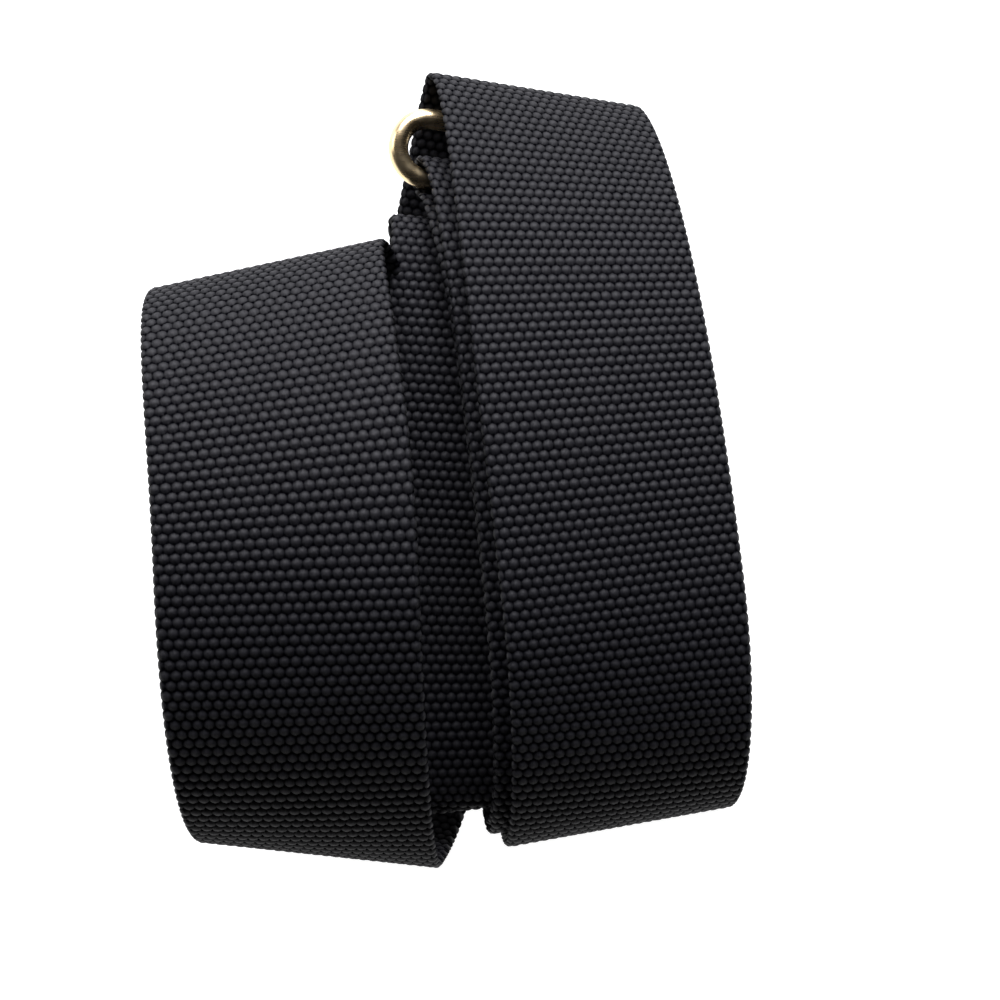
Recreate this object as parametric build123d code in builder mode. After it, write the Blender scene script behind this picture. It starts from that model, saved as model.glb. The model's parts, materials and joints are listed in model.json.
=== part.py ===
"""Guitar strap, 50 mm webbing wound into a flat coil of four turns that lies on its back.

X runs to the right across the coil, Y along the turns, Z up; the floor is Z = 0. Millimetres.
The webbing starts at the oval ring, and makes the inner, middle, left and outer turn in that order.
Each turn is a front run over the top of the coil and a back run underneath, joined by folds.
"""
from build123d import *
import math
import os

os.makedirs("parts", exist_ok=True)

# webbing
WEB_WIDTH = 50.0
WEB_THICK = 1.7
LAYER_PITCH = 2.05  # from one layer's middle to the next where two layers lie together

# hardware
WIRE_R = 2.15  # wire of the oval ring
RING_LENGTH = 63.0
RING_HEIGHT = 17.3
BAR_PITCH = RING_HEIGHT - 2 * WIRE_R  # between the middles of the ring's two long bars
RING_RISE = 3.0  # degrees that the ring's plane rises towards the top of the coil
RING_LIFT = 4.1  # the webbing's fold stands this far beyond the middle of the ring's lower bar
SLIDER_LENGTH = 60.0
SLIDER_HEIGHT = 30.0
SLIDER_BAR = 5.0  # width of the slider's flat bars
SLIDER_PLATE = 2.0  # thickness of the slider's plate
SIDE_BAR = 4.0  # width of the plate beside its window
BAR_THICK = 1.6  # the centre bar, which the webbing's end is sewn round
BAR_PLAY = 0.1  # between the centre bar and the webbing round it
SLIDE_GAP = 0.35
END_LAP = 18.0  # how far the webbing's end is sewn back on itself
CHEEK_THICK = 3.2  # the two posts that carry the centre bar
CHEEK_INSET = 2.0  # from the window's edge to the middle of a cheek
CHEEK_FOOT = 11.0  # half a cheek's length at its foot, and at its top
CHEEK_TOP = 5.0
CHEEK_OVER = 1.8  # a cheek's height over the middle of the centre bar

# leather
LEATHER = 2.0
TAB_WIDTH = 51.0
TAB_LENGTH = 64.0
TAB_TIP_WIDTH = 30.0
TAB_OVERLAP = 24.0  # how far the webbing reaches in between the leathers
TAB_PLACE = (38.52, -61.78)  # where the outer tab begins, on the floor under the coil
TAB_SLOPE = 0.02  # sideways for each millimetre along
TAPER_FROM = 24.0  # where the outer tab begins to narrow
BUTTON_HOLE_R = 4.0
SLIT_LENGTH = 9.0
SLIT_WIDTH = 1.2
TAB_GAP = 0.03  # between the leathers and the webbing's faces
RING_TAB_LEATHER = 1.6
RING_TAB_WIDTH = 39.0
RING_TAB_TIP_WIDTH = 28.0
RING_TAB_TAPER = 27.0  # length of the tapering stretch, tip and all
RING_TAB_SHIFT = 1.5  # sideways from the middle of the ring
RING_TAB_PLAY = 0.38  # between the ring's wire and the leather round it
WRAP_SHIFT = 0.3  # a little more to the side round the bar, and between the bar and the lap
APPROACH_SHIFT = 0.6
UPPER_REACH = 64.0  # from the tip to the turn round the bar, and to the end of that turn
LOWER_REACH = 79.0
STITCH_R = 0.4
STITCH_PITCH = 4.5
STITCH_GAP = 1.4
STITCH_DEEP = 0.1  # how far a stitch's ends show below the lowest layer
SEAM_INSET = 4.0

# folds: x, y, z of the webbing's middle, then tilt and yaw of the fold's line and the travel's lean along it
FOLDS = {
    "ring": (14.52, 65.02, 18.6, -4.0, 18.0, 0.15),
    "inner_bottom": (30.82, -76.08, 23.0, 9.5, 4.0, -0.08),
    "middle_top": (9.22, 53.22, 17.0, -3.0, 15.0, -0.10),
    "middle_bottom": (6.02, -74.78, 24.0, 6.5, 0.0, -0.20),
    "left_top": (-39.28, 41.22, 39.0, 12.3, 0.0, -0.10),
    "left_bottom": (-28.38, -82.18, 36.0, -7.6, 6.0, 0.20),
    "outer_top": (16.62, 83.82, 15.8, -4.0, 19.0, 0.18),
    "outer_bottom": (34.42, -78.38, 25.0, 9.5, 4.0, -0.05),
}
# runs: first fold, last fold, x y z halfway, slope of x there, tilt and yaw there,
# four handle lengths, flat length
RUNS = {
    "inner_front": ("ring", "inner_bottom", (30.62, -25.78, 46.6), 0.10, (1.0, 8.0), (9, 62, 28, 16), 0),
    "inner_back": ("inner_bottom", "middle_top", (20.02, -13.78, 10.0), -0.17, (9.65, 0.0), (8, 26, 30, 4), 54),
    "middle_front": ("middle_top", "middle_bottom", (7.02, -15.78, 31.0), -0.06, (0.0, 4.0), (6, 56, 36, 6), 0),
    "middle_back": ("middle_bottom", "left_top", (-15.98, -19.78, 19.5), -0.38, (12.0, 0.0), (5, 34, 32, 14), 0),
    "left_front": ("left_top", "left_bottom", (-31.28, -20.78, 75.0), 0.04, (2.4, 0.0), (16, 36, 36, 16), 0),
    "left_back": ("left_bottom", "outer_top", (-5.98, -12.78, 1.3), 0.27, (-9.0, 1.0), (32, 56, 60, 3), 0),
    "outer_front": ("outer_top", "outer_bottom", (33.92, -25.78, 55.2), 0.12, (2.0, 9.0), (9, 66, 28, 17), 0),
}
STEPS = 24  # sections in each half of a run
FLAT_STEP = 5.0  # between sections where the webbing is flat


def axis(tilt, yaw):
    """The direction of a fold's line: tilt turns it in plan, yaw lowers its right end."""
    t, y = math.radians(tilt), math.radians(yaw)
    return Vector(math.cos(t) * math.cos(y), math.sin(t), -math.cos(t) * math.sin(y))


def fold_travel(name):
    """The way the webbing travels at a fold: up at a top fold and down at a bottom one."""
    tilt, yaw, lean = FOLDS[name][3:]
    way = -1 if name.endswith("bottom") else 1
    y = math.radians(yaw)
    return (Vector(math.sin(y), 0, math.cos(y)) * way + axis(tilt, yaw) * lean).normalized()


def bezier(points, t):
    """A point of a cubic curve, and its direction."""
    a, b, c, d = points
    s = 1 - t
    place = a * s**3 + b * (3 * s * s * t) + c * (3 * s * t * t) + d * t**3
    slope = (b - a) * (3 * s * s) + (c - b) * (6 * s * t) + (d - c) * (3 * t * t)
    return place, slope.normalized()


def ease(t):
    return t * t * (3 - 2 * t)


def flat_rows(start, along, length, line):
    """Stations along a straight flat stretch, both ends with it."""
    count = math.ceil(length / FLAT_STEP)
    normal = along.cross(line).normalized()
    return [(start + along * (length * i / max(count, 1)), along, line, normal) for i in range(count + 1)]


def run_stations(name):
    """Stations along a run: middle, travel, line across, and normal to the webbing."""
    first, last, middle, slope, turn, reach, flat = RUNS[name]
    way = -1 if name.endswith("front") else 1
    start, end, mid = Vector(*FOLDS[first][:3]), Vector(*FOLDS[last][:3]), Vector(*middle)
    along = Vector(slope, way, 0).normalized()
    near, far = mid - along * (flat / 2), mid + along * (flat / 2)
    rise, fall = fold_travel(first), fold_travel(last)
    halves = (
        ((start, start + rise * reach[0], near - along * reach[1], near), FOLDS[first][3:5], turn),
        ((far, far + along * reach[2], end - fall * reach[3], end), turn, FOLDS[last][3:5]),
    )
    rows = []
    for points, (tilt_a, yaw_a), (tilt_b, yaw_b) in halves:
        for i in range(STEPS + 1):
            t = i / STEPS
            place, travel = bezier(points, t)
            k = ease(t)
            line = axis(tilt_a + (tilt_b - tilt_a) * k, yaw_a + (yaw_b - yaw_a) * k)
            rows.append((place, travel, line, travel.cross(line).normalized()))
    rows[STEPS : STEPS + 2] = flat_rows(near, along, flat, axis(*turn))
    return rows


def section(station, width=WEB_WIDTH, thick=WEB_THICK, offset=0.0):
    """The plane and size of the webbing's section at a station, cut along the line across it."""
    place, travel, line, normal = station
    spread = travel.cross(line).length
    return Plane(place + normal * offset, x_dir=line, z_dir=line.cross(normal)), width / spread, thick


def joined(*names):
    """The stations of several runs in a row."""
    rows = []
    for name in names:
        rows += run_stations(name)[1 if rows else 0 :]
    return rows


def shifted(rows, offset):
    """The same stations, moved along their normals."""
    return [(place + normal * offset, travel, line, normal) for place, travel, line, normal in rows]


# ---- webbing, one solid for each turn of the coil ----

inner_front = run_stations("inner_front")
inner_back = run_stations("inner_back")

# the tail leaves the last fold and lies flat between the leathers of the outer tab
tail_along = Vector(TAB_SLOPE, 1, 0).normalized()
tail_start = Vector(*TAB_PLACE, LEATHER + TAB_GAP + WEB_THICK / 2)
tail_turn = -math.degrees(math.atan(TAB_SLOPE))
last_fold = Vector(*FOLDS["outer_bottom"][:3])
tail_curve = (
    last_fold,
    last_fold + fold_travel("outer_bottom") * 18,
    tail_start - tail_along * 16,
    tail_start,
)
tail = []
for i in range(STEPS):
    place, travel = bezier(tail_curve, i / STEPS)
    k = ease(i / STEPS)
    tilt, yaw = FOLDS["outer_bottom"][3:5]
    line = axis(tilt + (tail_turn - tilt) * k, yaw * (1 - k))
    tail.append((place, travel, line, travel.cross(line).normalized()))
tail += flat_rows(tail_start, tail_along, TAB_OVERLAP, axis(tail_turn, 0))

# the ring's frame: F along its bars, V across them towards the top of the coil, U up
ring_fold = Vector(*FOLDS["ring"][:3])
ring_f = axis(*FOLDS["ring"][3:5])
ring_u = (Vector(0, 0, 1) - ring_f * ring_f.Z).normalized()
ring_v = ring_u.cross(ring_f)
lower_bar = ring_fold - ring_v * RING_LIFT

# under the ring's lower bar the webbing comes back and closes up under the inner front run:
# cubic curves in V and U from the fold; the last one ends on that run
RETURN_BEND = (
    ((0, 0), (0, -2.1), (-1.8, -3.6), (-3.9, -3.6)),
    ((-3.9, -3.6), (-6.1, -3.6), (-7.7, -2.0), (-8.0, 0.2)),
    ((-8.0, 0.2), (-9.8, 8.0), (-26.0, 19.0)),
)
RETURN_FROM = 16  # station of the inner front run where the return layer has come up to it
SPAN_FROM = 12  # station of the inner back run where the stretch beside the slider begins
back_under = shifted(inner_front[RETURN_FROM:] + inner_back[1 : SPAN_FROM + 1], -LAYER_PITCH)
join = back_under[0][0] - ring_fold
drift = join.dot(ring_f) / join.dot(ring_v)
return_rows = []
for curve in RETURN_BEND:
    points = [ring_fold + ring_v * v + ring_u * u + ring_f * (drift * v) for v, u in curve]
    end_line = ring_f
    if len(points) < 4:
        points.append(back_under[0][0])
        end_line = back_under[0][2]
    count = math.ceil((points[3] - points[0]).length / FLAT_STEP) + 3
    for i in range(count):
        place, travel = bezier(points, i / count)
        line = (ring_f * (1 - i / count) + end_line * (i / count)).normalized()
        return_rows.append((place, travel, line, travel.cross(line).normalized()))
return_rows += back_under

# beside the slider everything is flat; its frame is X across, Y along the webbing, Z up
slider_at = Vector(*RUNS["inner_back"][2])
slider_along = Vector(RUNS["inner_back"][3], 1, 0).normalized()
slider_across = slider_along.cross(Vector(0, 0, 1))
slider_flat = RUNS["inner_back"][6]
span_flat = flat_rows(
    slider_at - slider_along * (slider_flat / 2), slider_along, slider_flat / 2 - END_LAP, slider_across
)
span_rows = shifted(inner_back[SPAN_FROM:STEPS] + span_flat, -LAYER_PITCH)

WEBBING = {
    "webbing_inner_turn": inner_front + inner_back[1:],
    "webbing_middle_turn": joined("middle_front", "middle_back"),
    "webbing_left_turn": joined("left_front", "left_back"),
    "webbing_outer_turn": joined("outer_front") + tail[1:],
    "webbing_return_layer": return_rows,
    "webbing_slider_span": span_rows,
}
for name, rows in WEBBING.items():
    with BuildPart() as webbing:
        for station in rows:
            plane, wide, thick = section(station)
            with BuildSketch(plane):
                Rectangle(wide, thick)
        loft()
    webbing.part.label = name
    export_step(webbing.part, f"parts/{name}.step")

# ---- oval ring of round wire ----

rise = math.radians(RING_RISE)
ring_way = ring_v * math.cos(rise) + ring_u * math.sin(rise)
ring_normal = ring_f.cross(ring_way)
ring_middle = lower_bar + ring_way * (BAR_PITCH / 2)
ring_plane = Plane(ring_middle, x_dir=ring_f, z_dir=ring_normal)
bar_half = (RING_LENGTH - RING_HEIGHT) / 2
end_r = BAR_PITCH / 2

with BuildPart() as oval_ring:
    with BuildLine(ring_plane) as ring_path:
        Line((-bar_half, -end_r), (bar_half, -end_r))
        ThreePointArc((bar_half, -end_r), (bar_half + end_r, 0), (bar_half, end_r))
        Line((bar_half, end_r), (-bar_half, end_r))
        ThreePointArc((-bar_half, end_r), (-bar_half - end_r, 0), (-bar_half, -end_r))
    with BuildSketch(Plane(ring_plane.from_local_coords((0, -end_r, 0)), x_dir=ring_normal, z_dir=ring_f)):
        Circle(WIRE_R)
    sweep(path=ring_path.wires()[0])

oval_ring.part.label = "oval_ring"
export_step(oval_ring.part, "parts/oval_ring.step")

# ---- slider: a plate with dropped end bars and a centre bar that holds the webbing's end ----

slider_plane = Plane(slider_at, x_dir=slider_across, z_dir=(0, 0, 1))
window = SLIDER_LENGTH - 2 * SIDE_BAR
plate_top = -(WEB_THICK / 2 + SLIDE_GAP)
lower_lap = LAYER_PITCH
bar_mid = lower_lap + WEB_THICK / 2 + BAR_PLAY + BAR_THICK / 2
upper_lap = 2 * bar_mid - lower_lap
cheek_foot = plate_top - SLIDER_PLATE / 2
cheek_shoulder = plate_top + 0.8
cheek_top = bar_mid + CHEEK_OVER

with BuildPart() as slider_frame:
    with BuildSketch(slider_plane.offset(plate_top - SLIDER_PLATE)):
        RectangleRounded(SLIDER_LENGTH, SLIDER_HEIGHT, 5)
        Rectangle(window, SLIDER_HEIGHT - 2 * SLIDER_BAR, mode=Mode.SUBTRACT)
    extrude(amount=SLIDER_PLATE)
    for side in (-1, 1):
        across = side * (window / 2 + CHEEK_INSET)
        cheek = Plane(slider_plane.from_local_coords((across, 0, 0)), x_dir=slider_along, z_dir=slider_across)
        with BuildSketch(cheek):
            with BuildLine():
                Polyline(
                    (-CHEEK_FOOT, cheek_foot),
                    (CHEEK_FOOT, cheek_foot),
                    (CHEEK_FOOT - 1, cheek_shoulder),
                    (CHEEK_TOP, cheek_top),
                    (-CHEEK_TOP, cheek_top),
                    (1 - CHEEK_FOOT, cheek_shoulder),
                    close=True,
                )
            make_face()
        extrude(amount=CHEEK_THICK / 2, both=True)
    with BuildSketch(Plane(slider_plane.origin, x_dir=slider_along, z_dir=slider_across)):
        with Locations((0, bar_mid)):
            SlotOverall(SLIDER_BAR, BAR_THICK)
    extrude(amount=SLIDER_LENGTH, both=True, mode=Mode.SUBTRACT)

slider_frame.part.label = "slider_frame"
export_step(slider_frame.part, "parts/slider_frame.step")

with BuildPart() as slider_center_bar:
    with BuildSketch(Plane(slider_plane.origin, x_dir=slider_along, z_dir=slider_across)):
        with Locations((0, bar_mid)):
            SlotOverall(SLIDER_BAR, BAR_THICK)
    extrude(amount=window / 2 + CHEEK_INSET + CHEEK_THICK / 2, both=True)

slider_center_bar.part.label = "slider_center_bar"
export_step(slider_center_bar.part, "parts/slider_center_bar.step")

lap_r = (upper_lap - lower_lap) / 2
lap_turn = SLIDER_BAR / 2 - BAR_THICK / 2
sewn_lap = lower_lap + WEB_THICK + 0.05
with BuildPart() as webbing_end_loop:
    with BuildSketch(Plane(slider_plane.origin, x_dir=slider_along, z_dir=slider_across)):
        with BuildLine():
            Line((-END_LAP, lower_lap), (lap_turn, lower_lap))
            ThreePointArc((lap_turn, lower_lap), (lap_turn + lap_r, bar_mid), (lap_turn, upper_lap))
            Line((lap_turn, upper_lap), (-lap_turn, upper_lap))
            Bezier(
                (-lap_turn, upper_lap),
                (-lap_turn - 3, upper_lap),
                (-lap_turn - 3, sewn_lap),
                (-lap_turn - 6, sewn_lap),
            )
            Line((-lap_turn - 6, sewn_lap), (-END_LAP + 1, sewn_lap))
        trace(line_width=WEB_THICK)
    extrude(amount=WEB_WIDTH / 2, both=True)

webbing_end_loop.part.label = "webbing_end_loop"
export_step(webbing_end_loop.part, "parts/webbing_end_loop.step")

# ---- stitches: short threads that go through their layers and lie on top between two holes ----


def stitch(plane, depth):
    """One stitch along the plane's X: two threads down to -depth, and one on top."""
    reach = (STITCH_PITCH - STITCH_GAP) / 2
    with BuildPart(mode=Mode.PRIVATE) as thread:
        for end in (-reach, reach):
            with BuildSketch(plane.offset(STITCH_R)):
                with Locations((end, 0)):
                    Circle(STITCH_R)
            extrude(amount=-(depth + STITCH_R + STITCH_DEEP))
        cross = Plane(plane.from_local_coords((-reach, 0, 0)), x_dir=plane.y_dir, z_dir=plane.x_dir)
        with BuildSketch(cross):
            Circle(0.9 * STITCH_R)
        extrude(amount=2 * reach)
    return thread.part


def seam(start, way, top, length, depth):
    """Stitches in a row from start, on faces whose normal is top."""
    count = int(length // STITCH_PITCH)
    row = []
    for i in range(count):
        middle = start + way * ((length - STITCH_PITCH * count) / 2 + STITCH_PITCH * (i + 0.5))
        row.append(stitch(Plane(middle, x_dir=way, z_dir=top), depth))
    return row


up = Vector(0, 0, 1)
lap_threads = []
for back in (END_LAP - 3, END_LAP - 7):
    left_end = slider_at - slider_along * back - slider_across * (WEB_WIDTH / 2 - SEAM_INSET)
    left_end += up * (sewn_lap + WEB_THICK / 2)
    lap_threads += seam(left_end, slider_across, up, WEB_WIDTH - 2 * SEAM_INSET, 2 * WEB_THICK)

with BuildPart() as end_loop_stitching:
    add(lap_threads)

end_loop_stitching.part.label = "end_loop_stitching"
export_step(end_loop_stitching.part, "parts/end_loop_stitching.step")

# ---- outer end tab: two leathers with the webbing's end between them ----

tab_across = tail_along.cross(up)
tab_plane = Plane((*TAB_PLACE, 0), x_dir=tab_across, z_dir=up)
half = TAB_WIDTH / 2
tip = TAB_TIP_WIDTH / 2
hole_at = TAB_LENGTH - tip
shoulder = TAB_LENGTH - tip

with BuildSketch() as tab_shape:
    with BuildLine():
        Polyline(
            (-tip, shoulder),
            (-half, TAPER_FROM),
            (-half, 0),
            (half, 0),
            (half, TAPER_FROM),
            (tip, shoulder),
        )
        ThreePointArc((tip, shoulder), (0, TAB_LENGTH), (-tip, shoulder))
    make_face()
    with Locations((0, hole_at)):
        Circle(BUTTON_HOLE_R, mode=Mode.SUBTRACT)
    with Locations((0, hole_at - BUTTON_HOLE_R)):
        Rectangle(SLIT_WIDTH, 2 * (SLIT_LENGTH - BUTTON_HOLE_R), mode=Mode.SUBTRACT)

with BuildPart() as outer_tab_lower_leather:
    with BuildSketch(tab_plane):
        add(tab_shape.sketch)
    extrude(amount=LEATHER)

outer_tab_lower_leather.part.label = "outer_tab_lower_leather"
export_step(outer_tab_lower_leather.part, "parts/outer_tab_lower_leather.step")

raised = LEATHER + WEB_THICK + 2 * TAB_GAP
with BuildPart() as outer_tab_upper_leather:
    with BuildSketch(tab_plane.offset(LEATHER)):
        add(tab_shape.sketch)
    extrude(amount=raised)
    with BuildSketch(Plane(tab_plane.origin, x_dir=tail_along, z_dir=tab_across)):
        with BuildLine():
            Polyline(
                (0, raised),
                (TAB_OVERLAP + 0.5, raised),
                (TAB_OVERLAP + 5, LEATHER),
                (TAB_LENGTH, LEATHER),
                (TAB_LENGTH, 2 * LEATHER),
                (TAB_OVERLAP + 6, 2 * LEATHER),
                (TAB_OVERLAP + 1.5, raised + LEATHER),
                (0, raised + LEATHER),
                close=True,
            )
        make_face()
    extrude(amount=TAB_WIDTH, both=True, mode=Mode.INTERSECT)

outer_tab_upper_leather.part.label = "outer_tab_upper_leather"
export_step(outer_tab_upper_leather.part, "parts/outer_tab_upper_leather.step")

top_face = raised + LEATHER
stack = LEATHER + raised
tab_threads = []
for along in (SEAM_INSET, TAB_OVERLAP - 3):
    start = Vector(*tab_plane.from_local_coords((-half + SEAM_INSET, along, top_face)))
    tab_threads += seam(start, tab_across, up, TAB_WIDTH - 2 * SEAM_INSET, stack - 3 * STITCH_DEEP)
for side in (-1, 1):
    start = Vector(*tab_plane.from_local_coords((side * (half - SEAM_INSET - 0.5), SEAM_INSET + 2, top_face)))
    tab_threads += seam(start, tail_along, up, TAB_OVERLAP - SEAM_INSET - 7, stack - 3 * STITCH_DEEP)

with BuildPart() as outer_tab_stitching:
    add(tab_threads)

outer_tab_stitching.part.label = "outer_tab_stitching"
export_step(outer_tab_stitching.part, "parts/outer_tab_stitching.step")

# ---- ring tab: one leather folded round the ring's top bar and sewn to itself ----

top_bar = lower_bar + ring_way * BAR_PITCH
wrap_r = WIRE_R + RING_TAB_PLAY + RING_TAB_LEATHER / 2
LOWER_LIFT = 2.95  # middle of the lower layer above the middle of the inner turn
UPPER_LIFT = LOWER_LIFT + RING_TAB_LEATHER + 0.05
TIP_LIFTS = (UPPER_LIFT, UPPER_LIFT, 4.3, 3.9, 3.8, 3.8)  # from station LAP_FROM on, every second one
LAP_FROM = 8
LAP_TO = 10
TIP_STATION = LAP_FROM + 2 * (len(TIP_LIFTS) - 1)
# V and U from the fold, between the lap and the ring
LOWER_APPROACH = ((-3.6, 11.0), (0.2, 8.2), (3.6, 6.2), (6.2, 3.4))
UPPER_APPROACH = ((7.3, 5.1), (4.6, 8.3), (-0.6, 11.1))
WRAP_STEPS = 34


def laid(station, lift):
    """The middle of a layer that lies over a station of the inner turn."""
    return station[0] + station[3] * lift + station[2] * RING_TAB_SHIFT


def approach(points):
    return [ring_fold + ring_v * v + ring_u * u + ring_f * (RING_TAB_SHIFT + APPROACH_SHIFT) for v, u in points]


tab_path = [laid(inner_front[i], LOWER_LIFT) for i in (LAP_TO, LAP_FROM)]
tab_path += approach(LOWER_APPROACH)
for angle in range(180, 451, 45):
    a = math.radians(angle)
    around = ring_v * math.cos(a) + ring_u * math.sin(a)
    tab_path.append(top_bar + around * wrap_r + ring_f * (RING_TAB_SHIFT + WRAP_SHIFT))
tab_path += approach(UPPER_APPROACH)
tab_path += [laid(inner_front[LAP_FROM + 2 * i], lift) for i, lift in enumerate(TIP_LIFTS)]
tip_row = inner_front[TIP_STATION]
tab_ends = (-inner_front[LAP_TO][1], tip_row[1])
tab_curve = Spline(*tab_path, tangents=tab_ends)
tab_span = tab_curve.length
ring_tab_half = RING_TAB_WIDTH / 2
ring_tab_tip = RING_TAB_TIP_WIDTH / 2


def tab_station(to_tip):
    """The ring tab's station at a distance from its tip."""
    t = 1 - to_tip / tab_span
    travel = (tab_curve % t).normalized()
    if to_tip < UPPER_REACH:
        share = to_tip / UPPER_REACH
        line = tip_row[2] * (1 - share) + ring_f * share
    else:
        share = max(0, (to_tip - LOWER_REACH) / (tab_span - LOWER_REACH))
        line = ring_f * (1 - share) + inner_front[LAP_TO][2] * share
    line = line.normalized()
    return tab_curve @ t, travel, line, travel.cross(line).normalized()


def tab_width(to_tip):
    """The ring tab's width: a round tip, a taper, then parallel edges."""
    if to_tip < ring_tab_tip:
        return 2 * math.sqrt(ring_tab_tip**2 - (ring_tab_tip - to_tip) ** 2)
    share = min((to_tip - ring_tab_tip) / (RING_TAB_TAPER - ring_tab_tip), 1)
    return 2 * (ring_tab_tip + (ring_tab_half - ring_tab_tip) * share)


tip_reaches = (0.1, 0.5, 1.2, 2.4, 4.0, 6.0, 8.5, 11.0, 14.0, 17.0, 20.5, 24.0, 27.0)
reaches = [RING_TAB_TAPER + (tab_span - RING_TAB_TAPER) * i / WRAP_STEPS for i in range(WRAP_STEPS, 0, -1)]
reaches += reversed(tip_reaches)

with BuildPart() as ring_tab_leather:
    for reach in reaches:
        plane, wide, thick = section(tab_station(reach), tab_width(reach), RING_TAB_LEATHER)
        with BuildSketch(plane):
            Rectangle(wide, thick)
    loft()
    hole_row = tab_station(ring_tab_tip)
    with BuildSketch(Plane(hole_row[0], x_dir=hole_row[2], z_dir=hole_row[3])):
        Circle(BUTTON_HOLE_R)
        toward_ring = -1 if hole_row[3].cross(hole_row[2]).dot(hole_row[1]) > 0 else 1
        with Locations((0, toward_ring * BUTTON_HOLE_R)):
            Rectangle(SLIT_WIDTH, 2 * (SLIT_LENGTH - BUTTON_HOLE_R))
    extrude(amount=2 * RING_TAB_LEATHER, both=True, mode=Mode.SUBTRACT)

ring_tab_leather.part.label = "ring_tab_leather"
export_step(ring_tab_leather.part, "parts/ring_tab_leather.step")

ring_tab_threads = []
near_row, far_row = inner_front[LAP_FROM], inner_front[LAP_TO]
for share in (0.0, 0.7):
    top = (near_row[3] * (1 - share) + far_row[3] * share).normalized()
    way = (near_row[2] * (1 - share) + far_row[2] * share).normalized()
    lift = UPPER_LIFT + RING_TAB_LEATHER / 2
    middle = laid(near_row, lift) * (1 - share) + laid(far_row, lift) * share
    start = middle - way * (ring_tab_half - SEAM_INSET)
    ring_tab_threads += seam(start, way, top, RING_TAB_WIDTH - 2 * SEAM_INSET, 2 * RING_TAB_LEATHER)

with BuildPart() as ring_tab_stitching:
    add(ring_tab_threads)

ring_tab_stitching.part.label = "ring_tab_stitching"
export_step(ring_tab_stitching.part, "parts/ring_tab_stitching.step")
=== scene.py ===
"""Guitar strap wound into a flat coil: woven webbing, gold ring and slider, leather tabs.

Metres, in the part's frame; the webbing's route is worked out in millimetres first.
"""

import json
import math

import bpy
import numpy as np
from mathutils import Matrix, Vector


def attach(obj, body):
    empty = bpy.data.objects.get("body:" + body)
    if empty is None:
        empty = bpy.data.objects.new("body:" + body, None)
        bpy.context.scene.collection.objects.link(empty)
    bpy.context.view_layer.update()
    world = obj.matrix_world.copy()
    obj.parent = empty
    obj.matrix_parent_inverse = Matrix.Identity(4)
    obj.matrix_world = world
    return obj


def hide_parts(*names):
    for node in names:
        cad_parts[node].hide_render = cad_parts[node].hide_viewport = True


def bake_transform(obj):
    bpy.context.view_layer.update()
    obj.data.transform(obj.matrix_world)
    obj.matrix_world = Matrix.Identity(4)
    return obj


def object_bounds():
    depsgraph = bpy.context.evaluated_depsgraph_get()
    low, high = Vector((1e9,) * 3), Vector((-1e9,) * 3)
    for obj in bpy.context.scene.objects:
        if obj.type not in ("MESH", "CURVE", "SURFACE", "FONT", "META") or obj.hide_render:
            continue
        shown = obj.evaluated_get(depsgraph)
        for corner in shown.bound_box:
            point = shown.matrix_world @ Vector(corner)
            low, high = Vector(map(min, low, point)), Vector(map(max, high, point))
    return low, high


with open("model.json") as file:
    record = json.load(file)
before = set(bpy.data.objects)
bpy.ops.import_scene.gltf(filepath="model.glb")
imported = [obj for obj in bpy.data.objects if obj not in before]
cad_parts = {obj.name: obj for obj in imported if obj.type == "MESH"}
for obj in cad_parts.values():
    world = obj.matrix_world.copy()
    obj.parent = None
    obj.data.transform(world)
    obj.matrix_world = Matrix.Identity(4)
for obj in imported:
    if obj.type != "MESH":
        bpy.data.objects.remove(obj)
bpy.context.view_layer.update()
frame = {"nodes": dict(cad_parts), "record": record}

MM = 0.001
# the webbing, as the part has it
WEB_WIDTH = 50.0
LAYER_PITCH = 2.05
# folds: x, y, z of the webbing's middle, tilt and yaw of the fold's line, the travel's lean
FOLDS = {
    "ring": (14.52, 65.02, 18.6, -4.0, 18.0, 0.15),
    "inner_bottom": (30.82, -76.08, 23.0, 9.5, 4.0, -0.08),
    "middle_top": (9.22, 53.22, 17.0, -3.0, 15.0, -0.10),
    "middle_bottom": (6.02, -74.78, 24.0, 6.5, 0.0, -0.20),
    "left_top": (-39.28, 41.22, 39.0, 12.3, 0.0, -0.10),
    "left_bottom": (-28.38, -82.18, 36.0, -7.6, 6.0, 0.20),
    "outer_top": (16.62, 83.82, 15.8, -4.0, 19.0, 0.18),
    "outer_bottom": (34.42, -78.38, 25.0, 9.5, 4.0, -0.05),
}
# runs: first fold, last fold, x y z halfway, slope of x there, tilt and yaw there,
# four handle lengths, flat length
RUNS = {
    "inner_front": (
        "ring", "inner_bottom", (30.62, -25.78, 46.6), 0.10, (1.0, 8.0),
        (9, 62, 28, 16), 0,
    ),
    "inner_back": (
        "inner_bottom", "middle_top", (20.02, -13.78, 10.0), -0.17, (9.65, 0.0),
        (8, 26, 30, 4), 54,
    ),
    "middle_front": (
        "middle_top", "middle_bottom", (7.02, -15.78, 31.0), -0.06, (0.0, 4.0),
        (6, 56, 36, 6), 0,
    ),
    "middle_back": (
        "middle_bottom", "left_top", (-15.98, -19.78, 19.5), -0.38, (12.0, 0.0),
        (5, 34, 32, 14), 0,
    ),
    "left_front": (
        "left_top", "left_bottom", (-31.28, -20.78, 75.0), 0.04, (2.4, 0.0),
        (16, 36, 36, 16), 0,
    ),
    "left_back": (
        "left_bottom", "outer_top", (-5.98, -12.78, 1.3), 0.27, (-9.0, 1.0),
        (32, 56, 60, 3), 0,
    ),
    "outer_front": (
        "outer_top", "outer_bottom", (33.92, -25.78, 55.2), 0.12, (2.0, 9.0),
        (9, 66, 28, 17), 0,
    ),
}
TAB_PLACE = (38.52, -61.78, 2.88)  # where the webbing's tail comes in between the leathers
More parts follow.
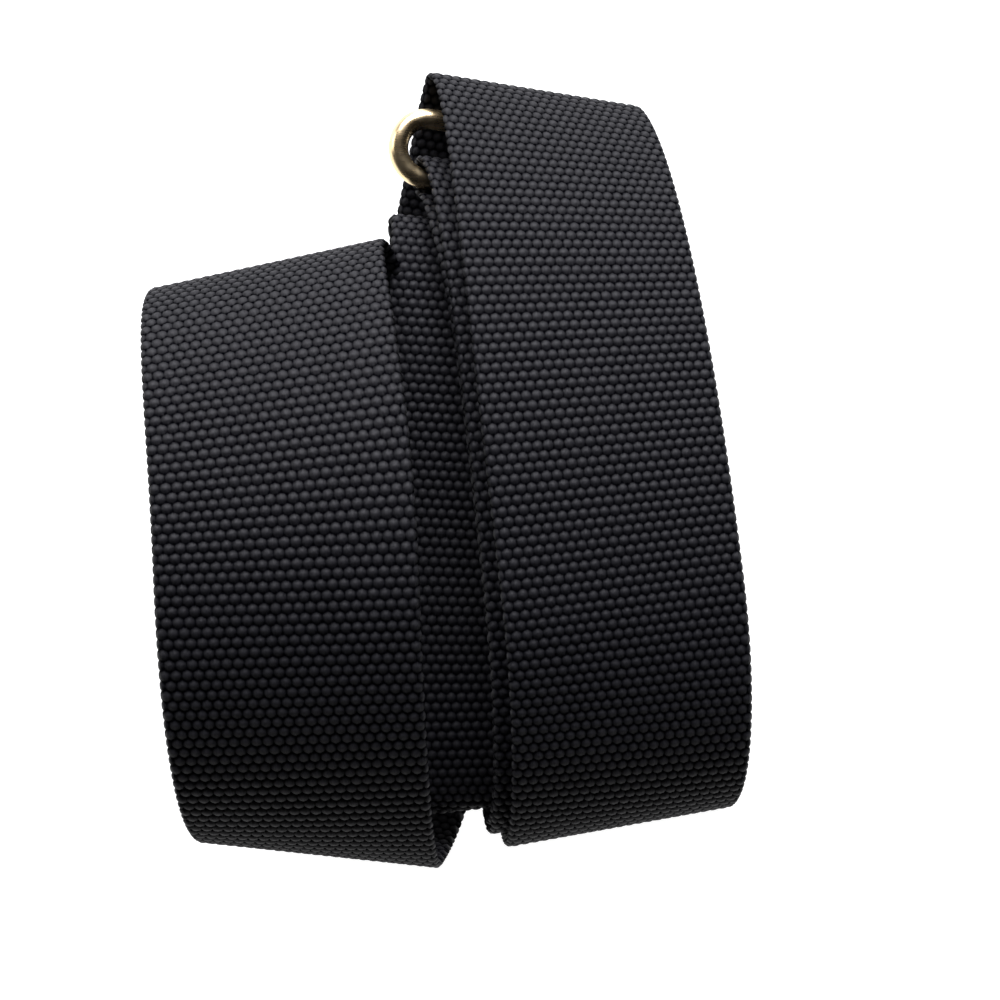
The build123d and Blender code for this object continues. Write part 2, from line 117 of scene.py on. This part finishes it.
TAB_SLOPE = 0.02  # sideways for each millimetre along
TAB_OVERLAP = 24.0  # how far it reaches in
TAIL_HANDLES = (18, 16)  # of the curve from the last fold to the tab
# the bend under the ring's lower bar: cubic curves, across and up from the fold
RETURN_BEND = (
    ((0, 0), (0, -2.1), (-1.8, -3.6), (-3.9, -3.6)),
    ((-3.9, -3.6), (-6.1, -3.6), (-7.7, -2.0), (-8.0, 0.2)),
    ((-8.0, 0.2), (-9.8, 8.0), (-26.0, 19.0)),
)
RETURN_SHARE = 2 / 3  # of the inner front run's first half: the return layer closes up there
SPAN_SHARE = 0.5  # of the inner back run's first half: the slider's stretch begins there
END_LAP = 18.0  # how far the webbing's end is sewn back on itself
LAP_EASE = 3.0  # from the slider's bar to the middle of the end's slope down to the lap
LAP_GAP = 0.05
SLIDER_BAR = 5.0
BAR_THICK = 1.6
BAR_PLAY = 0.1
WEB_THICK = 1.7
SAMPLES = 240  # steps in each half of a run
BEND_SAMPLES = 60  # steps in each curve of the bend under the ring's bar
SHORT_SAMPLES = 40  # points, or steps, in a short stretch


# ---- the route of the webbing: points and lines across, in millimetres ----


def axis(tilt, yaw):
    """Lines across the webbing: tilt turns them in plan, yaw lowers the right end."""
    t, y = np.radians(tilt), np.radians(yaw)
    return np.stack([np.cos(t) * np.cos(y), np.sin(t) + 0 * y, -np.cos(t) * np.sin(y)], axis=-1)


def fold_travel(name):
    tilt, yaw, lean = FOLDS[name][3:]
    way = -1 if name.endswith("bottom") else 1
    y = math.radians(yaw)
    travel = np.array([math.sin(y), 0, math.cos(y)]) * way + axis(tilt, yaw) * lean
    return travel / np.linalg.norm(travel)


def unit(v):
    return v / np.linalg.norm(v, axis=-1, keepdims=True)


def cubic(points, count):
    """Points of a cubic curve."""
    t = np.linspace(0, 1, count + 1)[:, None]
    a, b, c, d = (np.asarray(p, float) for p in points)
    return a * (1 - t) ** 3 + 3 * b * (1 - t) ** 2 * t + 3 * c * (1 - t) * t * t + d * t**3


def turned(first, last, count):
    """Lines across along a cubic curve, easing from the first (tilt, yaw) to the last."""
    t = np.linspace(0, 1, count + 1)
    k = t * t * (3 - 2 * t)
    return axis(first[0] + (last[0] - first[0]) * k, first[1] + (last[1] - first[1]) * k)


def run(name):
    """(points, lines) of each half of a run."""
    first, last, middle, slope, turn, reach, flat = RUNS[name]
    way = -1 if name.endswith("front") else 1
    start, end, mid = (np.array(v, float) for v in (FOLDS[first][:3], FOLDS[last][:3], middle))
    along = unit(np.array([slope, way, 0.0]))
    near, far = mid - along * (flat / 2), mid + along * (flat / 2)
    rise, fall = fold_travel(first), fold_travel(last)
    one = cubic((start, start + rise * reach[0], near - along * reach[1], near), SAMPLES)
    two = cubic((far, far + along * reach[2], end - fall * reach[3], end), SAMPLES)
    return (
        (one, turned(FOLDS[first][3:5], turn, SAMPLES)),
        (two, turned(turn, FOLDS[last][3:5], SAMPLES)),
    )


def chained(*stretches):
    """One route from stretches, without repeated points."""
    places = np.concatenate([s[0] for s in stretches])
    lines = unit(np.concatenate([s[1] for s in stretches]))
    step = np.linalg.norm(np.diff(places, axis=0), axis=1)
    keep = np.concatenate([[True], step > 1e-4])
    return places[keep], lines[keep]


def travels(places):
    return unit(np.gradient(places, axis=0))


def lifted(stretch, offset):
    """The same stretch, moved along its normals."""
    places, lines = stretch
    normals = unit(np.cross(travels(places), lines))
    return places + normals * offset, lines


inner_front = run("inner_front")
inner_back = run("inner_back")
outer_front = run("outer_front")

# the tail, in between the outer tab's leathers
tail_along = unit(np.array([TAB_SLOPE, 1.0, 0.0]))
tail_start = np.array(TAB_PLACE)
tail_turn = -math.degrees(math.atan(TAB_SLOPE))
last_fold = np.array(FOLDS["outer_bottom"][:3])
tail_points = (
    last_fold,
    last_fold + fold_travel("outer_bottom") * TAIL_HANDLES[0],
    tail_start - tail_along * TAIL_HANDLES[1],
    tail_start,
)
tail = cubic(tail_points, SAMPLES)
tail_lines = turned(FOLDS["outer_bottom"][3:5], (tail_turn, 0), SAMPLES)
tail_flat = np.linspace(tail_start, tail_start + tail_along * TAB_OVERLAP, SHORT_SAMPLES)
tail_flat_lines = np.repeat(axis(tail_turn, 0.0)[None], SHORT_SAMPLES, axis=0)

# the return layer, under the ring's lower bar and back below the inner front run
ring_fold = np.array(FOLDS["ring"][:3])
ring_f = axis(*FOLDS["ring"][3:5])
ring_u = unit(np.array([0, 0, 1.0]) - ring_f * ring_f[2])
ring_v = np.cross(ring_u, ring_f)
shift_front = [lifted(part, -LAYER_PITCH) for part in inner_front]
first_kept = round(SAMPLES * RETURN_SHARE)
under = (shift_front[0][0][first_kept:], shift_front[0][1][first_kept:])
join = under[0][0] - ring_fold
drift = join @ ring_f / (join @ ring_v)
bend = []
for curve in RETURN_BEND:
    knots = [ring_fold + ring_v * v + ring_u * u + ring_f * (drift * v) for v, u in curve]
    closing = len(knots) < 4
    if closing:
        knots.append(under[0][0])
    bend_line = np.repeat(ring_f[None], BEND_SAMPLES + 1, axis=0)
    if closing:
        share = np.linspace(0, 1, BEND_SAMPLES + 1)[:, None]
        bend_line = ring_f * (1 - share) + under[1][0] * share
    bend.append((cubic(knots, BEND_SAMPLES), bend_line))
back_shift = lifted(inner_back[0], -LAYER_PITCH)
span_first = round(SAMPLES * SPAN_SHARE)
back_under = (back_shift[0][: span_first + 1], back_shift[1][: span_first + 1])

# beside the slider
slider_at = np.array(RUNS["inner_back"][2])
slider_along = unit(np.array([RUNS["inner_back"][3], 1.0, 0.0]))
slider_across = np.cross(slider_along, [0, 0, 1.0])
span_curve = (back_shift[0][span_first:], back_shift[1][span_first:])
flat_end = slider_at - slider_along * END_LAP + np.array([0, 0, LAYER_PITCH])
span_flat = np.linspace(span_curve[0][-1], flat_end, 20)
span_flat_lines = np.repeat(slider_across[None], 20, axis=0)

# the end, round the slider's centre bar and sewn back on itself: Y and Z in the slider's frame
lower = LAYER_PITCH
bar_mid = lower + WEB_THICK / 2 + BAR_PLAY + BAR_THICK / 2
upper = 2 * bar_mid - lower
loop_r = (upper - lower) / 2
loop_turn = SLIDER_BAR / 2 - BAR_THICK / 2
sewn = lower + WEB_THICK + LAP_GAP
arc = np.radians(np.linspace(-90, 90, SHORT_SAMPLES))
lap_points = (
    (-loop_turn, upper),
    (-loop_turn - LAP_EASE, upper),
    (-loop_turn - LAP_EASE, sewn),
    (-loop_turn - 2 * LAP_EASE, sewn),
)
loop_path = np.concatenate(
    [
        np.linspace((-END_LAP, lower), (loop_turn, lower), 60)[:-1],
        np.stack([loop_turn + loop_r * np.cos(arc), bar_mid + loop_r * np.sin(arc)], axis=-1),
        np.linspace((loop_turn, upper), (-loop_turn, upper), 20)[1:-1],
        cubic(lap_points, SHORT_SAMPLES),
        np.linspace(lap_points[-1], (1 - END_LAP, sewn), 30)[1:],
    ]
)
loop_places = slider_at + loop_path[:, :1] * slider_along + loop_path[:, 1:] * np.array([0, 0, 1.0])
loop_lines = np.repeat(slider_across[None], len(loop_places), axis=0)

ROUTES = {
    "webbing_inner_turn": chained(*inner_front, *inner_back),
    "webbing_middle_turn": chained(*run("middle_front"), *run("middle_back")),
    "webbing_left_turn": chained(*run("left_front"), *run("left_back")),
    "webbing_outer_turn": chained(*outer_front, (tail, tail_lines), (tail_flat, tail_flat_lines)),
    "webbing_return_layer": chained(*bend, under, shift_front[1], back_under),
    "webbing_slider_span": chained(span_curve, (span_flat, span_flat_lines)),
    "webbing_end_loop": (loop_places, loop_lines),
}

# ---- the weave: rows of round bumps, every second row set over by half a bump ----

BUMPS = 23  # in a row, from selvedge to selvedge
BUMP_LENGTH = 2.05  # from one row to the next
FINE = 4  # steps in a bump
SHEAR_EASE = 34.0  # how far from a fold the rows come square to the webbing's edges
HALF_CORE = 0.32  # from the middle to the bottom of the pits
BUMP_HEIGHT = 0.56
DOME_WIDE = 0.56  # half a dome, in bumps across
DOME_LONG = 0.58  # half a dome, in rows
SELVEDGE = 1.1  # width of the rounded edge
BEAD_MEAN = 0.7  # of a row's height along the selvedge, where the edge stands in its place
BEAD_REACH = 0.25  # how far a row's full height moves the edge


def bump(across, along, row):
    """Height of the weave, from 0 in the pits to 1 on the domes of three rows."""
    y = along % 1.0 - 0.5
    height = 0.0
    for step in (-1, 0, 1):
        x = (across + 0.5 * ((row + step) % 2)) % 1.0 - 0.5
        height = np.maximum(height, 1 - (x / DOME_WIDE) ** 2 - ((y - step) / DOME_LONG) ** 2)
    return np.sqrt(height)


def woven(name, places, lines):
    """The woven webbing along a route, as a closed mesh in metres; returns it and its length."""
    step = np.linalg.norm(np.diff(places, axis=0), axis=1)
    run_length = np.concatenate([[0], np.cumsum(step)])
    total = run_length[-1]
    travel = travels(places)
    rows = round(total / BUMP_LENGTH)
    pitch = total / rows
    along = np.arange(rows * FINE + 1) * pitch / FINE

    def at(values, where):
        return np.stack([np.interp(where, run_length, values[:, i]) for i in range(3)], axis=-1)

    def face(side, fine):
        """One face's points, row by row, and each one's place in the cloth and in the weave."""
        count = BUMPS * fine
        across = (np.arange(count + 1) / count - 0.5) * WEB_WIDTH
        f0, t0 = unit(at(lines, along)), unit(at(travel, along))
        lean = np.sum(f0 * t0, axis=-1)
        spread = np.sqrt(1 - lean**2)
        window = np.clip(np.minimum(along, total - along) / SHEAR_EASE, 0, 1)
        window = window * window * (3 - 2 * window)
        where = along[:, None] - across[None] * (lean / spread * window)[:, None]
        where = np.clip(where, 0, total)
        f, t = unit(at(lines, where)), unit(at(travel, where))
        turn = np.sum(f * t, axis=-1, keepdims=True)
        wide = np.sqrt(1 - turn**2)
        normal = unit(np.cross(t, f))
        cell = across / WEB_WIDTH * BUMPS
        row = np.floor(along / pitch + 1e-6)
        height = bump(cell[None] + 0.5 * (side < 0), (along / pitch)[:, None], row[:, None])
        edge = np.clip((np.abs(across) - (WEB_WIDTH / 2 - SELVEDGE)) / SELVEDGE, 0, 1)
        roundness = np.sqrt(np.clip(1 - edge**2, 0, 1))[None]
        row_height = np.sqrt(np.clip(1 - (2 * ((along / pitch) % 1.0) - 1) ** 2, 0, 1))[:, None]
        out = np.sign(across)[None] * edge[None] ** 2 * (row_height - BEAD_MEAN) * BEAD_REACH
        lift = (HALF_CORE + BUMP_HEIGHT * height) * roundness
        points = at(places, where) + f * ((across[None] + out) / wide[..., 0])[..., None]
        points = points + normal * (side * lift)[..., None]
        rank = np.broadcast_to(along[:, None], where.shape)
        cloth = np.stack([np.broadcast_to(across[None], where.shape), rank], -1) * MM
        column = np.broadcast_to(cell + 0.5 * (side < 0), where.shape)
        weave = np.stack([column, rank / pitch], -1) - 0.5
        return points * MM, cloth, weave

    top, *top_extra = face(1, FINE)
    low, *low_extra = face(-1, FINE // 2)
    n, m, k = top.shape[0], top.shape[1], low.shape[1]

    def both(upper, lower):
        """The two faces' points as one list; they share the points along the two edges."""
        inner = lower[:, 1:-1]
        return np.concatenate([part.reshape(-1, part.shape[-1]) for part in (upper, inner)])

    points = both(top, low)
    index_top = np.arange(n * m).reshape(n, m)
    index_low = np.empty((n, k), int)
    index_low[:, 1:-1] = n * m + np.arange(n * (k - 2)).reshape(n, k - 2)
    index_low[:, 0], index_low[:, -1] = index_top[:, 0], index_top[:, -1]

    def quads(index, flip):
        a, b, c, d = index[:-1, :-1], index[:-1, 1:], index[1:, 1:], index[1:, :-1]
        order = (a, d, c, b) if flip else (a, b, c, d)
        return np.stack(order, axis=-1).reshape(-1, 4)

    faces = np.concatenate([quads(index_top, True), quads(index_low, False)])
    ends = [
        np.concatenate([index_top[0], index_low[0, -2:0:-1]]),
        np.concatenate([index_top[-1, ::-1], index_low[-1, 1:-1]]),
    ]
    mesh = bpy.data.meshes.new(name)
    mesh.vertices.add(len(points))
    mesh.vertices.foreach_set("co", points.astype(np.float32).ravel())
    loops = np.concatenate([faces.ravel(), *ends])
    end_starts = len(faces) * 4 + np.array([0, len(ends[0])])
    starts = np.concatenate([np.arange(len(faces)) * 4, end_starts])
    sizes = np.concatenate([np.full(len(faces), 4), [len(e) for e in ends]])
    mesh.loops.add(len(loops))
    mesh.loops.foreach_set("vertex_index", loops.astype(np.int32))
    mesh.polygons.add(len(starts))
    mesh.polygons.foreach_set("loop_start", starts.astype(np.int32))
    mesh.polygons.foreach_set("loop_total", sizes.astype(np.int32))
    mesh.polygons.foreach_set("use_smooth", np.ones(len(starts), bool))
    mesh.update(calc_edges=True)
    mesh.validate()
    for title, on_top, on_low in zip(("cloth_place", "weave_place"), top_extra, low_extra):
        values = np.pad(both(on_top, on_low), ((0, 0), (0, 1))).astype(np.float32)
        layer = mesh.attributes.new(title, "FLOAT_VECTOR", "POINT")
        layer.data.foreach_set("vector", values.ravel())
    piece = bpy.data.objects.new(name, mesh)
    bpy.context.scene.collection.objects.link(piece)
    return piece, total * MM


# ---- materials ----

# noise cells to a metre: across and along the webbing, and in x, y, z on the metal
FIBRE_GRAIN = (2400, 900, 1)
WEAR_GRAIN = (220, 90, 1)
SCRATCH_GRAIN = (300, 4200, 900)
LEATHER_EDGE = 0.35 * MM  # rounding of the leathers' cut edges


def node_material(name):
    material = bpy.data.materials.new(name)
    material.use_nodes = True
    tree = material.node_tree
    return material, tree, tree.nodes["Principled BSDF"]


def noise(tree, scale, detail=3.0, source=None, rough=0.5):
    node = tree.nodes.new("ShaderNodeTexNoise")
    node.inputs["Scale"].default_value = scale
    node.inputs["Detail"].default_value = detail
    node.inputs["Roughness"].default_value = rough
    if source is not None:
        tree.links.new(source, node.inputs["Vector"])
    return node.outputs["Fac"]


def spots(tree, scale, source):
    node = tree.nodes.new("ShaderNodeTexVoronoi")
    node.inputs["Scale"].default_value = scale
    tree.links.new(source, node.inputs["Vector"])
    return node.outputs["Distance"]


def ramp(tree, value, low, high, stops):
    """value from low to high, turned into the colours of stops."""
    spread = tree.nodes.new("ShaderNodeMapRange")
    spread.inputs["From Min"].default_value = low
    spread.inputs["From Max"].default_value = high
    tree.links.new(value, spread.inputs["Value"])
    node = tree.nodes.new("ShaderNodeValToRGB")
    elements = node.color_ramp.elements
    while len(elements) < len(stops):
        elements.new(0.5)
    for element, (place, colour) in zip(elements, stops):
        element.position = place
        element.color = (*colour, 1)
    tree.links.new(spread.outputs["Result"], node.inputs["Fac"])
    return node.outputs["Color"]


def scaled(tree, source, factors):
    node = tree.nodes.new("ShaderNodeMapping")
    node.inputs["Scale"].default_value = factors
    tree.links.new(source, node.inputs["Vector"])
    return node.outputs["Vector"]


def add_bump(tree, shader, height, strength, distance):
    node = tree.nodes.new("ShaderNodeBump")
    node.inputs["Strength"].default_value = strength
    node.inputs["Distance"].default_value = distance
    tree.links.new(height, node.inputs["Height"])
    tree.links.new(node.outputs["Normal"], shader.inputs["Normal"])


def coordinates(tree):
    return tree.nodes.new("ShaderNodeTexCoord").outputs["Object"]


def attribute(tree, name):
    node = tree.nodes.new("ShaderNodeAttribute")
    node.attribute_name = name
    return node.outputs["Vector"]


def calculated(tree, operation, *values):
    """The result of a maths node; each value is a number or another node's output."""
    node = tree.nodes.new("ShaderNodeMath")
    node.operation = operation
    for value, socket in zip(values, node.inputs):
        if isinstance(value, (int, float)):
            socket.default_value = value
        else:
            tree.links.new(value, socket)
    return node.outputs[0]


def mixed(tree, one, other, factor):
    """one times factor, plus other."""
    return calculated(tree, "MULTIPLY_ADD", one, factor, other)


def weave_height(tree):
    """Squared height of the weave, worked out as bump() does it."""

    def result(operation, *values):
        return calculated(tree, operation, *values)

    split = tree.nodes.new("ShaderNodeSeparateXYZ")
    tree.links.new(attribute(tree, "weave_place"), split.inputs["Vector"])
    across, along = split.outputs["X"], split.outputs["Y"]
    row = result("ROUND", along)
    height = 0.0
    for step in (-1, 0, 1):
        near = result("ADD", row, step)
        x = result("SUBTRACT", across, result("MULTIPLY", near, 0.5))
        x = result("DIVIDE", result("SUBTRACT", x, result("ROUND", x)), DOME_WIDE)
        y = result("DIVIDE", result("SUBTRACT", along, near), DOME_LONG)
        away = result("ADD", result("MULTIPLY", x, x), result("MULTIPLY", y, y))
        height = result("MAXIMUM", height, result("SUBTRACT", 1.0, away))
    return height


def webbing_material():
    material, tree, shader = node_material("woven_black_polyester")
    spot = attribute(tree, "cloth_place")
    height = weave_height(tree)
    fibre = noise(tree, 1.0, 4.0, scaled(tree, spot, FIBRE_GRAIN), 0.65)
    wear = noise(tree, 1.0, 3.0, scaled(tree, spot, WEAR_GRAIN))
    # painted shade: the weave's height makes the base colour darker in the pits between the domes;
    # the fibre and wear noise add random tone
    tone = mixed(tree, wear, mixed(tree, fibre, height, 0.5), 0.35)
    colours_with_painted_pit_shade = [
        (0.0, (0.0003, 0.0003, 0.0007)),
        (0.4, (0.0030, 0.0031, 0.0042)),
        (1.0, (0.0085, 0.0085, 0.0105)),
    ]
    tree.links.new(ramp(tree, tone, 0.35, 1.4, colours_with_painted_pit_shade), shader.inputs["Base Color"])
    shader.inputs["Roughness"].default_value = 0.58
    # painted shade: by the weave's height the specular level falls to nothing in the pits; the
    # fibre noise varies it at random
    fibre_sheen_and_painted_pit_shade = mixed(tree, fibre, height, 1.0)
    stops = [(0.0, (0.0,) * 3), (0.35, (0.11,) * 3), (1.0, (0.27,) * 3)]
    tree.links.new(ramp(tree, fibre_sheen_and_painted_pit_shade, 0.55, 1.75, stops), shader.inputs["Specular IOR Level"])
    add_bump(tree, shader, mixed(tree, fibre, height, 1.3), 0.6, 0.25 * MM)
    return material


def gold_material():
    material, tree, shader = node_material("polished_gold_plate")
    spot = coordinates(tree)
    haze = noise(tree, 260.0, 3.0, spot)
    scratch = noise(tree, 1.0, 2.0, scaled(tree, spot, SCRATCH_GRAIN), 0.7)
    golds = [(0.0, (0.80, 0.60, 0.33)), (1.0, (0.90, 0.74, 0.46))]
    tree.links.new(ramp(tree, haze, 0.3, 0.7, golds), shader.inputs["Base Color"])
    shader.inputs["Metallic"].default_value = 1.0
    rub = mixed(tree, scratch, haze, 0.7)
    stops = [(0.0, (0.20,) * 3), (1.0, (0.34,) * 3)]
    tree.links.new(ramp(tree, rub, 0.4, 1.2, stops), shader.inputs["Roughness"])
    add_bump(tree, shader, scratch, 0.05, 0.05 * MM)
    return material


def leather_material():
    material, tree, shader = node_material("black_grained_leather")
    spot = coordinates(tree)
    grain = spots(tree, 1400.0, spot)
    cloud = noise(tree, 160.0, 4.0, spot)
    tone = mixed(tree, cloud, grain, 0.8)
    browns = [(0.0, (0.006, 0.0055, 0.005)), (1.0, (0.030, 0.027, 0.025))]
    tree.links.new(ramp(tree, tone, 0.2, 1.1, browns), shader.inputs["Base Color"])
    stops = [(0.0, (0.38,) * 3), (1.0, (0.55,) * 3)]
    tree.links.new(ramp(tree, cloud, 0.3, 0.7, stops), shader.inputs["Roughness"])
    add_bump(tree, shader, mixed(tree, cloud, grain, 0.5), 0.5, 0.18 * MM)
    return material


def thread_material():
    material, tree, shader = node_material("black_bonded_thread")
    spot = coordinates(tree)
    ply = noise(tree, 2600.0, 3.0, spot)
    greys = [(0.0, (0.010, 0.010, 0.011)), (1.0, (0.055, 0.055, 0.060))]
    tree.links.new(ramp(tree, ply, 0.3, 0.7, greys), shader.inputs["Base Color"])
    shader.inputs["Roughness"].default_value = 0.45
    add_bump(tree, shader, ply, 0.4, 0.08 * MM)
    return material


materials = {
    "webbing": webbing_material(),
    "gold_metal": gold_material(),
    "leather": leather_material(),
    "thread": thread_material(),
}

# ---- the webbing's pieces, in place of the CAD's plain ones ----

for node, (places, lines) in ROUTES.items():
    piece, length = woven(node.replace("webbing", "woven"), places, lines)
    piece.data.materials.append(materials["webbing"])
    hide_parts(node)
    if node == "webbing_slider_span":
        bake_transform(piece)
    else:
        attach(piece, "slider" if node == "webbing_end_loop" else "strap")

for entry in frame["record"]["subparts"]:
    if entry["material_slot"] != "webbing":
        thing = frame["nodes"][entry["node"]]
        thing.data.materials.clear()
        thing.data.materials.append(materials[entry["material_slot"]])
        if entry["material_slot"] == "leather":
            rounded = thing.modifiers.new("edge", "BEVEL")
            rounded.width = LEATHER_EDGE
            rounded.segments = 2
            rounded.limit_method = "ANGLE"

# ---- floor, light and camera ----

FLOOR_REACH = 3.0
FLOOR_GAP = 0.3 * MM  # below the lowest point
corners = [(x * FLOOR_REACH, y * FLOOR_REACH, 0) for x, y in ((-1, -1), (1, -1), (1, 1), (-1, 1))]
mesh = bpy.data.meshes.new("floor")
mesh.from_pydata(corners, [], [(0, 1, 2, 3)])
floor = bpy.data.objects.new("floor", mesh)
floor.location.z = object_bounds()[0][2] - FLOOR_GAP
bpy.context.scene.collection.objects.link(floor)
paper, tree, shader = node_material("white_paper")
speckle = noise(tree, 400.0, 2.0, coordinates(tree))
stops = [(0.0, (0.30,) * 3), (1.0, (0.34,) * 3)]
tree.links.new(ramp(tree, speckle, 0.3, 0.7, stops), shader.inputs["Base Color"])
shader.inputs["Roughness"].default_value = 0.9
shader.inputs["Emission Color"].default_value = (1, 1, 1, 1)
shader.inputs["Emission Strength"].default_value = 1.0
floor.data.materials.append(paper)


def soft_light(name, place, aim, size, power, colour):
    light = bpy.data.lights.new(name, "AREA")
    light.shape = "RECTANGLE"
    light.size, light.size_y = size
    light.energy = power
    light.color = colour
    lamp = bpy.data.objects.new(name, light)
    lamp.location = place
    lamp.rotation_euler = (Vector(aim) - Vector(place)).to_track_quat("-Z", "Y").to_euler()
    bpy.context.scene.collection.objects.link(lamp)


soft_light("main_light", (0.0, 0.85, 0.6), (0, 0.02, 0.02), (0.7, 0.4), 32, (0.95, 0.94, 1.0))
soft_light("side_light", (-0.8, 0.35, 0.35), (0, 0.05, 0.02), (0.5, 0.5), 2.5, (1.0, 0.97, 0.92))

# white at the horizon and dark overhead, so that the floor goes on without an edge
world = bpy.data.worlds.new("studio")
bpy.context.scene.world = world
world.use_nodes = True
tree = world.node_tree
split = tree.nodes.new("ShaderNodeSeparateXYZ")
way = tree.nodes.new("ShaderNodeTexCoord")
tree.links.new(way.outputs["Generated"], split.inputs["Vector"])
sky = [(0.0, (1, 1, 1)), (1.0, (0.008, 0.008, 0.010))]
tree.links.new(
    ramp(tree, split.outputs["Z"], 0.05, 0.15, sky), tree.nodes["Background"].inputs["Color"]
)

bpy.context.scene.view_settings.view_transform = "Standard"

camera_data = bpy.data.cameras.new("camera")
camera_data.lens = 57.6
camera_data.sensor_width = 36
camera_data.clip_start = 0.01
camera = bpy.data.objects.new("camera", camera_data)
camera.location = (0.00902, -0.00778, 0.376)
bpy.context.scene.collection.objects.link(camera)
bpy.context.scene.camera = camera
